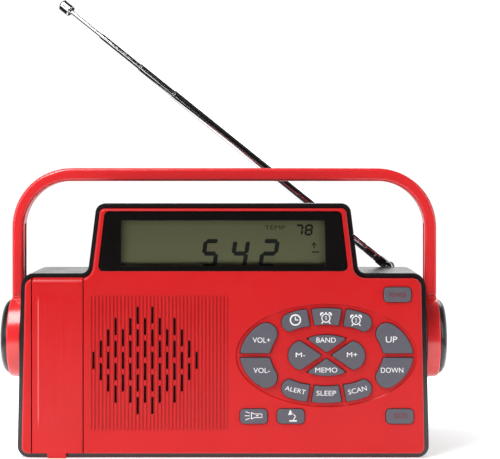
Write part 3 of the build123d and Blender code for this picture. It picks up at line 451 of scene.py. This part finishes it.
def shaded_edges(finish, edges):
    """Darkens a plastic towards some edges. Each is a direction, the edge, how deep, how dark."""
    nodes = finish.node_tree.nodes
    links = finish.node_tree.links
    base = nodes["Principled BSDF"].inputs["Base Color"]
    place = nodes.new("ShaderNodeTexCoord")
    split = nodes.new("ShaderNodeSeparateXYZ")
    links.new(place.outputs["Object"], split.inputs[0])
    for way, edge, inside, dark in edges:
        ramp = nodes.new("ShaderNodeMapRange")
        ramp.interpolation_type = "SMOOTHSTEP"
        socket(ramp, "From Min", edge * MM)
        socket(ramp, "From Max", inside * MM)
        socket(ramp, "To Min", dark)
        links.new(split.outputs[way], ramp.inputs["Value"])
        dim = nodes.new("ShaderNodeVectorMath")
        dim.operation = "SCALE"
        links.new(base.links[0].from_socket, dim.inputs[0])
        links.new(ramp.outputs["Result"], dim.inputs["Scale"])
        links.new(dim.outputs["Vector"], base)


shaded_edges(lcd_olive, [("X", -54.5, -48.5, 0.62), ("X", 54.0, 49.0, 0.70),
                         ("Z", 125.6, 122.4, 0.72)])

solar_low, solar_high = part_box("solar_panel")
slope_angle = math.atan2(solar_high.z - solar_low.z, solar_high.y - solar_low.y)


def solar_cells(name):
    """Dark silicon cells with pale gaps and thin bus lines under a clear layer."""
    finish = bpy.data.materials.new(name)
    finish.use_nodes = True
    nodes = finish.node_tree.nodes
    links = finish.node_tree.links
    shader = nodes["Principled BSDF"]
    place = nodes.new("ShaderNodeTexCoord")
    centre = (solar_low + solar_high) / 2
    move = nodes.new("ShaderNodeVectorMath")
    move.operation = "SUBTRACT"
    move.inputs[1].default_value = centre
    links.new(place.outputs["Object"], move.inputs[0])
    turn = nodes.new("ShaderNodeMapping")
    turn.inputs["Rotation"].default_value = (slope_angle, 0, 0)
    links.new(move.outputs["Vector"], turn.inputs["Vector"])
    split = nodes.new("ShaderNodeSeparateXYZ")
    links.new(turn.outputs["Vector"], split.inputs[0])

    def stripe(source, pitch, width, offset):
        """1 on a line of that width, repeated at the pitch."""
        shift = nodes.new("ShaderNodeMath")
        shift.operation = "ADD"
        shift.inputs[1].default_value = offset
        links.new(source, shift.inputs[0])
        wave = nodes.new("ShaderNodeMath")
        wave.operation = "PINGPONG"
        wave.inputs[1].default_value = pitch / 2
        links.new(shift.outputs[0], wave.inputs[0])
        line = nodes.new("ShaderNodeMath")
        line.operation = "LESS_THAN"
        line.inputs[1].default_value = width / 2
        links.new(wave.outputs[0], line.inputs[0])
        return line.outputs[0]

    gaps = stripe(split.outputs["X"], 18.4 * MM, 0.7 * MM, 9.2 * MM)
    fingers = stripe(split.outputs["X"], 1.84 * MM, 0.12 * MM, 0.92 * MM)
    bus = stripe(split.outputs["Y"], 12.0 * MM, 0.8 * MM, 6.0 * MM)
    silicon = nodes.new("ShaderNodeTexVoronoi")
    socket(silicon, "Scale", 260.0)
    links.new(place.outputs["Object"], silicon.inputs["Vector"])
    tint = nodes.new("ShaderNodeMix")
    tint.data_type = "RGBA"
    tint.inputs["A"].default_value = rgba(0.006, 0.008, 0.022)
    tint.inputs["B"].default_value = rgba(0.012, 0.018, 0.050)
    links.new(silicon.outputs["Color"], tint.inputs["Factor"])
    last = tint.outputs["Result"]
    for lines, shade in ((fingers, (0.07, 0.08, 0.11)), (bus, (0.32, 0.32, 0.33)),
                         (gaps, (0.17, 0.17, 0.18))):
        layer = nodes.new("ShaderNodeMix")
        layer.data_type = "RGBA"
        layer.inputs["B"].default_value = rgba(*shade)
        links.new(last, layer.inputs["A"])
        links.new(lines, layer.inputs["Factor"])
        last = layer.outputs["Result"]
    links.new(last, shader.inputs["Base Color"])
    socket(shader, "Roughness", 0.35)
    socket(shader, "Coat Weight", 1.0)
    socket(shader, "Coat Roughness", 0.04)
    print("solar slope", round(math.degrees(slope_angle), 1), "degrees")
    return finish


solar_blue = solar_cells("solar_blue")


# %% [markdown]
# ## The reading lamp's cover
#
# The strip at the left is the lid of a flip-up reading lamp. Its face has faint upright draw
# lines between a plain head and a plain foot, deeper than the grain and a little irregular. They
# are too shallow to model, so they are a bump that fades out at both ends. Near the outer edge
# one line is lighter in colour, a painted highlight.


# %% Draw lines on the lamp cover
# millimetres: the place and half width of the line with a painted highlight, and how deep the
# draw lines are
SPINE_X = -97.6
SPINE_HALF = 0.30
LINE_DEPTH = 0.30


def drawn_lines(finish, low, high):
    """Adds irregular upright lines between two heights, and one painted highlight line at
    SPINE_X.
    """
    nodes = finish.node_tree.nodes
    links = finish.node_tree.links
    place = nodes.new("ShaderNodeTexCoord")
    squash = nodes.new("ShaderNodeMapping")
    squash.inputs["Scale"].default_value = (620.0, 1.0, 9.0)
    links.new(place.outputs["Object"], squash.inputs["Vector"])
    lines = nodes.new("ShaderNodeTexNoise")
    socket(lines, "Scale", 1.0)
    socket(lines, "Detail", 2.0)
    links.new(squash.outputs["Vector"], lines.inputs["Vector"])
    split = nodes.new("ShaderNodeSeparateXYZ")
    links.new(place.outputs["Object"], split.inputs[0])
    foot = nodes.new("ShaderNodeMapRange")
    socket(foot, "From Min", low)
    socket(foot, "From Max", low + 6 * MM)
    links.new(split.outputs["Z"], foot.inputs["Value"])
    head = nodes.new("ShaderNodeMapRange")
    socket(head, "From Min", high)
    socket(head, "From Max", high - 4 * MM)
    links.new(split.outputs["Z"], head.inputs["Value"])
    both = nodes.new("ShaderNodeMath")
    both.operation = "MULTIPLY"
    links.new(foot.outputs["Result"], both.inputs[0])
    links.new(head.outputs["Result"], both.inputs[1])
    height = nodes.new("ShaderNodeMath")
    height.operation = "MULTIPLY"
    links.new(lines.outputs["Fac"], height.inputs[0])
    links.new(both.outputs[0], height.inputs[1])
    # Painted highlight: a thin line at SPINE_X is mixed towards a lighter red.
    spine = nodes.new("ShaderNodeMath")
    spine.operation = "COMPARE"
    spine.inputs[1].default_value = SPINE_X * MM
    spine.inputs[2].default_value = SPINE_HALF * MM
    links.new(split.outputs["X"], spine.inputs[0])
    broken = nodes.new("ShaderNodeMath")
    broken.operation = "MULTIPLY"
    links.new(spine.outputs[0], broken.inputs[0])
    links.new(both.outputs[0], broken.inputs[1])
    base = nodes["Principled BSDF"].inputs["Base Color"]
    painted_highlight = nodes.new("ShaderNodeMix")
    painted_highlight.data_type = "RGBA"
    painted_highlight.inputs["B"].default_value = rgba(0.78, 0.13, 0.14)
    links.new(base.links[0].from_socket, painted_highlight.inputs["A"])
    links.new(broken.outputs[0], painted_highlight.inputs["Factor"])
    links.new(painted_highlight.outputs["Result"], base)
    relief = nodes.new("ShaderNodeBump")
    socket(relief, "Strength", 1.0)
    socket(relief, "Distance", LINE_DEPTH * MM)
    links.new(height.outputs[0], relief.inputs["Height"])
    grain = next(n for n in nodes if n.type == "BUMP" and n is not relief)
    links.new(relief.outputs["Normal"], grain.inputs["Normal"])
    rounded = next(n for n in nodes if n.type == "BEVEL")
    links.new(rounded.outputs["Normal"], relief.inputs["Normal"])


red_lamp = moulded_plastic("red_lamp", (0.60, 0.010, 0.012), 0.34, grain=0.4, rounding=0.7,
                           shine=0.35, painted_gap_shade=0.7)
drawn_lines(red_lamp, 16 * MM, 86 * MM)

# %% Dress the CAD pieces
KEYS = sorted(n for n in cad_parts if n.startswith("key_"))
DRESS = {
    "front_cover": red_front,
    "lamp_panel": red_lamp,
    "handle": red_handle_painted_light,
    "left_pivot_boss": red_hub_painted_shade,
    "right_pivot_boss": red_hub_painted_shade,
    "rear_cover": charcoal_shell,
    "battery_door": charcoal_shell,
    "crank_arm": charcoal_shell,
    "left_end_cap": black_cap,
    "right_end_cap": black_cap,
    "crank_knob": black_cap,
    "display_mask": mask_gloss,
    "display_window": window_clear,
    "lcd_panel": lcd_olive,
    "lcd_backlight": opal_lens,
    "lamp_lens": opal_lens,
    "keypad_mat": soft_rubber,
    "jack_cover": soft_rubber,
    "rubber_feet": soft_rubber,
    "main_board": board_green,
    "lamp_led_board": board_green,
    "socket_board": board_green,
    "speaker": zinc_steel,
    "generator": zinc_steel,
    "case_screws": zinc_steel,
    "lamp_hinge_pin": zinc_steel,
    "torch_led": nickel,
    "generator_pinion": nickel,
    "grille_cloth": felt_black,
    "drive_gear": nylon_gear,
    "torch_lens": torch_clear,
    "torch_reflector": mirror_bowl,
    "antenna_swivel": chrome,
    "antenna_hinge_pin": chrome,
    "antenna_tube_1": chrome,
    "antenna_tube_2": chrome,
    "antenna_tube_3": chrome,
    "antenna_rod": chrome,
    "antenna_tip": chrome,
    "battery_cells": cell_sleeve,
    "battery_contacts": nickel,
    "solar_panel": solar_blue,
}
DRESS.update({key: key_grey for key in KEYS})
for name, finish in DRESS.items():
    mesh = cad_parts[name].data
    mesh.materials.clear()
    mesh.materials.append(finish)
print("dressed", len(DRESS), "of", len(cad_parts))
print("bare", sorted(set(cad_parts) - set(DRESS)))

# %% [markdown]
# ## Printing
#
# Legends and symbols are pad-printed in white ink, a few hundredths of a millimetre thick. They
# are drawn flat in the plane of the radio's face, in millimetres, then given that thickness.
# Drawing needs few strokes: a disc, a ring or arc, a straight bar and lettering. Letters
# come from Blender's own font, made a mesh first and then stretched to the printed size.

# %% Ink
INK_T = 0.05
ink_white = moulded_plastic("ink_white", (0.90, 0.90, 0.92), 0.55, grain=0.2, drift=0.05,
                            edge=0.0, rounding=0.01)
ink_red = moulded_plastic("ink_red", (0.20, 0.016, 0.022), 0.55, grain=0.2, edge=0.0,
                          rounding=0.01)
ink_dark = moulded_plastic("ink_dark", (0.026, 0.031, 0.036), 0.45, grain=0.1, edge=0.0,
                           rounding=0.01)


def disc(ink, x, z, radius, segments=28):
    """A filled disc."""
    bmesh.ops.create_circle(ink, cap_ends=True, radius=radius, segments=segments,
                            matrix=Matrix.Translation((x, z, 0)))


def arc(ink, x, z, radius, width, start=0.0, sweep=360.0, steps=32):
    """A ring, or part of one: a short radial edge spun round the centre. Angles in degrees."""
    way = Vector((math.cos(math.radians(start)), math.sin(math.radians(start)), 0))
    centre = Vector((x, z, 0))
    inner = ink.verts.new(centre + way * (radius - width / 2))
    outer = ink.verts.new(centre + way * (radius + width / 2))
    edge = ink.edges.new((inner, outer))
    bmesh.ops.spin(ink, geom=[inner, outer, edge], cent=centre, axis=(0, 0, 1),
                   angle=math.radians(sweep), steps=steps, use_merge=sweep == 360.0)


def bar(ink, x0, z0, x1, z1, width):
    """A straight stroke between two points."""
    start = Vector((x0, z0, 0))
    end = Vector((x1, z1, 0))
    run = end - start
    turn = Matrix.Rotation(math.atan2(run.y, run.x), 4, "Z")
    size = Matrix.Diagonal((run.length, width, 1, 1))
    bmesh.ops.create_grid(ink, x_segments=1, y_segments=1, size=0.5,
                          matrix=Matrix.Translation((start + end) / 2) @ turn @ size)


def print_flat(ink, name, body, depth, finish, turn=0, thick=INK_T):
    """Thickens flat strokes, stands them on a face and lets them ride on a body.

    depth is where that face lies. turn swings the drawing round the radio: 180 for the back, with
    depth and x counted the other way, and -90 for the left side.
    """
    bmesh.ops.recalc_face_normals(ink, faces=ink.faces[:])
    for face in ink.faces:
        if face.normal.z < 0:
            face.normal_flip()
    raised = bmesh.ops.extrude_face_region(ink, geom=ink.faces[:])
    lifted = [v for v in raised["geom"] if isinstance(v, bmesh.types.BMVert)]
    bmesh.ops.translate(ink, verts=lifted, vec=(0, 0, thick))
    stand = Matrix.Translation((0, depth, 0)) @ Matrix.Rotation(math.radians(90), 4, "X")
    stand = Matrix.Rotation(math.radians(turn), 4, "Z") @ stand
    bmesh.ops.transform(ink, matrix=Matrix.Scale(MM, 4) @ stand, verts=ink.verts[:])
    bmesh.ops.recalc_face_normals(ink, faces=ink.faces[:])
    mesh = bpy.data.meshes.new(name)
    ink.to_mesh(mesh)
    ink.free()
    mesh.materials.append(finish)
    piece = bpy.data.objects.new(name, mesh)
    scene.collection.objects.link(piece)
    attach(piece, body)
    return piece


# %% Lettering
def letters(ink, text, x, z, cap, width, angle=0.0):
    """Adds a word to flat ink, centred at x, z, with capitals cap high and width wide."""
    curve = bpy.data.curves.new("lettering", "FONT")
    curve.body = text
    curve.resolution_u = 4
    writer = bpy.data.objects.new("lettering", curve)
    scene.collection.objects.link(writer)
    bpy.context.view_layer.update()
    shape = bpy.data.meshes.new_from_object(writer)
    bpy.data.objects.remove(writer)
    bpy.data.curves.remove(curve)
    before = set(ink.verts)
    ink.from_mesh(shape)
    bpy.data.meshes.remove(shape)
    fresh = [v for v in ink.verts if v not in before]
    xs = [v.co.x for v in fresh]
    ys = [v.co.y for v in fresh]
    middle = Matrix.Translation((-(min(xs) + max(xs)) / 2, -(min(ys) + max(ys)) / 2, 0))
    size = Matrix.Diagonal((width / (max(xs) - min(xs)), cap / (max(ys) - min(ys)), 1, 1))
    turn = Matrix.Rotation(math.radians(angle), 4, "Z")
    bmesh.ops.transform(ink, matrix=Matrix.Translation((x, z, 0)) @ turn @ size @ middle,
                        verts=fresh)


key_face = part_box("key_memo")[0].y / MM
LEGENDS = [
    ("VOL+", "key_volume_up", 20.3, 62.8, 2.85, 9.2, 0),
    ("VOL-", "key_volume_down", 20.4, 46.8, 2.7, 8.6, 0),
    ("M-", "key_memory_down", 40.9, 55.0, 2.4, 5.1, 0),
    ("M+", "key_memory_up", 68.1, 55.1, 2.6, 5.5, 0),
    ("BAND", "key_band", 54.4, 62.8, 2.6, 10.2, 0),
    ("MEMO", "key_memo", 54.5, 47.0, 2.6, 11.7, 0),
    ("UP", "key_tune_up", 88.9, 63.1, 3.2, 6.0, 0),
    ("DOWN", "key_tune_down", 89.2, 46.9, 2.7, 11.8, 0),
    ("ALERT", "key_alert", 38.2, 36.4, 2.4, 11.0, -13),
    ("SLEEP", "key_sleep", 54.5, 34.8, 2.6, 10.3, 0),
    ("SCAN", "key_scan", 70.9, 36.4, 2.6, 10.0, 13),
]
for text, key, x, z, cap, width, angle in LEGENDS:
    ink = bmesh.new()
    letters(ink, text, x, z, cap, width, angle)
    print_flat(ink, "legend_" + key[4:], key, key_face, ink_white)
for text, key, x, z, width in (("POWER", "key_power", 92.3, 86.6, 9.0),
                               ("SOS", "key_sos", 93.7, 23.0, 7.0)):
    ink = bmesh.new()
    letters(ink, text, x, z, 2.6, width)
    print_flat(ink, "legend_" + key[4:], key, key_face, ink_red)
print("printed", len(LEGENDS) + 2, "legends at", round(key_face, 2))

# %% [markdown]
# ## Symbols
#
# A clock, two alarm clocks with their numbers, a torch throwing rays and a small desk lamp. The
# drawing is the plain kind found on any appliance, made from the same few strokes.

# %% Clock and alarm symbols
ink = bmesh.new()
arc(ink, 38.2, 73.4, 2.65, 0.72)
bar(ink, 38.2, 73.2, 38.2, 75.1, 0.6)
bar(ink, 38.0, 73.4, 39.7, 73.4, 0.6)
print_flat(ink, "symbol_clock", "key_clock", key_face, ink_white)

ALARMS = (("key_alarm_1", 54.3, 74.4, "1"), ("key_alarm_2", 70.2, 73.2, "2"))
for key, x, z, number in ALARMS:
    ink = bmesh.new()
    arc(ink, x, z, 2.15, 0.5)
    if number == "1":
        bar(ink, x + 0.1, z - 1.0, x + 0.1, z + 1.0, 0.36)
        bar(ink, x - 0.45, z + 0.5, x + 0.1, z + 0.95, 0.30)
    else:
        letters(ink, number, x, z, 2.0, 1.15)
    for side in (-1, 1):
        arc(ink, x + side * 2.0, z + 1.95, 0.75, 0.8, start=-45 if side > 0 else 45, sweep=180,
            steps=10)
        bar(ink, x + side * 1.6, z - 2.0, x + side * 2.3, z - 2.9, 0.55)
    disc(ink, x, z + 2.75, 0.45, 14)
    print_flat(ink, "symbol_" + key[4:], key, key_face, ink_white)

# %% Torch and desk lamp symbols
TORCH_ROW = 22.9
ink = bmesh.new()
for side in (-1, 1):
    bar(ink, 16.5, TORCH_ROW + side * 0.95, 20.6, TORCH_ROW + side * 0.95, 0.4)
    bar(ink, 15.0, TORCH_ROW + side * 1.75, 16.6, TORCH_ROW + side * 0.95, 0.4)
    bar(ink, 11.9, TORCH_ROW + side * 2.2, 14.1, TORCH_ROW + side * 1.35, 0.4)
bar(ink, 20.5, TORCH_ROW - 1.1, 20.5, TORCH_ROW + 1.1, 0.4)
bar(ink, 15.0, TORCH_ROW - 1.9, 15.0, TORCH_ROW + 1.9, 0.5)
bar(ink, 11.5, TORCH_ROW, 14.0, TORCH_ROW, 0.4)
bar(ink, 17.4, TORCH_ROW, 18.8, TORCH_ROW, 0.5)
print_flat(ink, "symbol_torch", "key_torch", key_face, ink_white)

ink = bmesh.new()
bar(ink, 35.0, 20.2, 39.0, 20.2, 0.7)
bar(ink, 36.9, 20.4, 38.3, 22.6, 0.5)
bar(ink, 38.4, 22.4, 36.2, 24.6, 0.5)
shade_place = Matrix.Translation((35.7, 24.3, 0))
bmesh.ops.create_circle(ink, cap_ends=True, radius=1.75, segments=3,
                        matrix=shade_place @ Matrix.Rotation(0.15, 4, "Z"))
print_flat(ink, "symbol_lamp", "key_lamp", key_face, ink_white)
print("symbols done")

# %% [markdown]
# ## Display segments
#
# The digits are the seven-segment kind, leaning a little to the right. Each segment is a long
# hexagon: a six-sided circle whose two halves are drawn apart. The big digits run down behind
# the lower edge of the frame, as a tall glass behind a low window does.

# %% Segment digits
SEGMENTS = {"2": "abged", "4": "fgbc", "5": "afgcd", "7": "abc", "8": "abcdefg"}


def segment(ink, x, z, length, width, upright):
    """One bar of a digit, with pointed ends."""
    half = bmesh.ops.create_circle(ink, cap_ends=True, radius=width / 1.732, segments=6)["verts"]
    reach = length / 2 - width / 1.732
    turn = Matrix.Rotation(math.radians(30), 4, "Z")
    bmesh.ops.transform(ink, matrix=turn, verts=half)
    if max(abs(v.co.x) for v in half) < width / 1.75:
        bmesh.ops.transform(ink, matrix=Matrix.Rotation(math.radians(30), 4, "Z"), verts=half)
    for vert in half:
        vert.co.x += math.copysign(reach, vert.co.x)
    stand = Matrix.Rotation(math.radians(90 if upright else 0), 4, "Z")
    bmesh.ops.transform(ink, matrix=Matrix.Translation((x, z, 0)) @ stand, verts=half)


def digit(ink, sign, x, z, width, height, stroke, lean=9.0):
    """A seven-segment digit with its lower left corner at x, z."""
    before = set(ink.verts)
    left = stroke / 2
    right = width - stroke / 2
    quarter = (height - stroke) / 4
    across = width - stroke * 1.1
    tall = (height - stroke) / 2 - stroke * 0.1
    spots = {
        "a": (width / 2, height - stroke / 2, across, False),
        "g": (width / 2, height / 2, across, False),
        "d": (width / 2, stroke / 2, across, False),
        "f": (left, height / 2 + quarter, tall, True),
        "b": (right, height / 2 + quarter, tall, True),
        "e": (left, height / 2 - quarter, tall, True),
        "c": (right, height / 2 - quarter, tall, True),
    }
    for letter in SEGMENTS[sign]:
        u, v, length, upright = spots[letter]
        segment(ink, u, v, length, stroke, upright)
    fresh = [v for v in ink.verts if v not in before]
    shear = Matrix.Identity(4)
    shear[0][1] = math.tan(math.radians(lean))
    bmesh.ops.transform(ink, matrix=Matrix.Translation((x, z, 0)) @ shear, verts=fresh)


lcd_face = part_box("lcd_panel")[0].y / MM
BIG_ROW = 100.4
BIG_TALL = 15.5
BIG_STROKE = 2.25
SMALL_ROW = 117.7
ink = bmesh.new()
for sign, x, width in (("5", -12.6, 8.8), ("4", 3.1, 9.0), ("2", 18.4, 9.4)):
    digit(ink, sign, x, BIG_ROW, width, BIG_TALL, BIG_STROKE)
for sign, x in (("7", 37.9), ("8", 43.0)):
    digit(ink, sign, x, SMALL_ROW, 4.2, 6.0, 1.05, 6.0)
bar(ink, 47.1, 109.0, 50.8, 109.0, 0.7)
bar(ink, 48.2, 110.9, 48.2, 113.9, 0.6)
bar(ink, 47.0, 112.4, 48.2, 114.0, 0.5)
bar(ink, 49.4, 112.4, 48.2, 114.0, 0.5)
print_flat(ink, "display_segments", "case", lcd_face, ink_dark)
ink = bmesh.new()
letters(ink, "TEMP", 27.5, 122.0, 2.2, 11.0)
print_flat(ink, "display_word", "case", lcd_face, ink_dark)
print("segments on the panel at", round(lcd_face, 2))

# %% [markdown]
# ## Small trim on the back and the side
#
# The battery door gets a moulded arrow, the crank's grip gets ridges, the deep case screws get
# dark strokes as painted shade for their cross recess, the torch lens gets raised rings and its
# lamp a yellow phosphor dot. All are drawn with the same strokes as the printing, mostly thicker,
# and ride on the part they belong to.

# %% Trim on the back
BACK = 180
DOOR_FACE = 32.4
GRIP_FACE = 30.68
SCREW_FACE = 12.4
SCREW_POINTS = ((-101.0, 11.0), (101.0, 11.0), (-78.0, 86.0), (78.0, 86.0), (-2.0, 9.0))

door_low, door_high = (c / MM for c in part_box("battery_door"))
door_x = (door_low.x + door_high.x) / 2
arrow_z = door_high.z - 20.0
ink = bmesh.new()
bmesh.ops.create_circle(ink, cap_ends=True, radius=3.4, segments=3,
                        matrix=Matrix.Translation((-door_x, arrow_z, 0)))
bar(ink, -door_x, arrow_z - 8.0, -door_x, arrow_z - 1.4, 2.0)
print_flat(ink, "door_arrow", "battery_door", -DOOR_FACE, charcoal_shell,
           BACK, 0.30)

grip_low, grip_high = (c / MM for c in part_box("crank_knob"))
grip_z = (grip_low.z + grip_high.z) / 2
ink = bmesh.new()
for row in range(7):
    ridge_x = -grip_low.x - 2.6 - row * 1.7
    bar(ink, ridge_x, grip_z - 2.6, ridge_x, grip_z + 2.6, 0.7)
print_flat(ink, "grip_ridges", "crank_grip", -GRIP_FACE, black_cap, BACK, 0.35)

# Painted shade: the screws' cross recess is drawn as dark flat strokes.
ink = bmesh.new()
for x, z in SCREW_POINTS:
    bar(ink, -x - 1.9, z, -x + 1.9, z, 0.7)
    bar(ink, -x, z - 1.9, -x, z - 0.35, 0.7)
    bar(ink, -x, z + 0.35, -x, z + 1.9, 0.7)
print_flat(ink, "screw_recess_painted_shade", "case", -SCREW_FACE, ink_dark, BACK)
print("battery door from", corner(door_low * MM), "to", corner(door_high * MM))

# %% Trim on the torch
LEFT = -90
torch_low, torch_high = (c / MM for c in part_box("torch_lens"))
torch_z = (torch_low.z + torch_high.z) / 2
led_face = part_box("torch_led")[0].x / MM
ink = bmesh.new()
for radius in (4.5, 7.5, 10.5):
    arc(ink, 0, torch_z, radius, 0.45, steps=64)
print_flat(ink, "torch_rings", "case", torch_low.x, torch_clear, LEFT, 0.20)
ink = bmesh.new()
disc(ink, 0, torch_z, 1.7)
phosphor = moulded_plastic("phosphor", (0.72, 0.52, 0.06), 0.5, drift=0.1, edge=0.0)
print_flat(ink, "torch_phosphor", "case", led_face, phosphor, LEFT, 0.10)
print("torch lens at", round(torch_low.x, 2), "lamp at", round(led_face, 2))
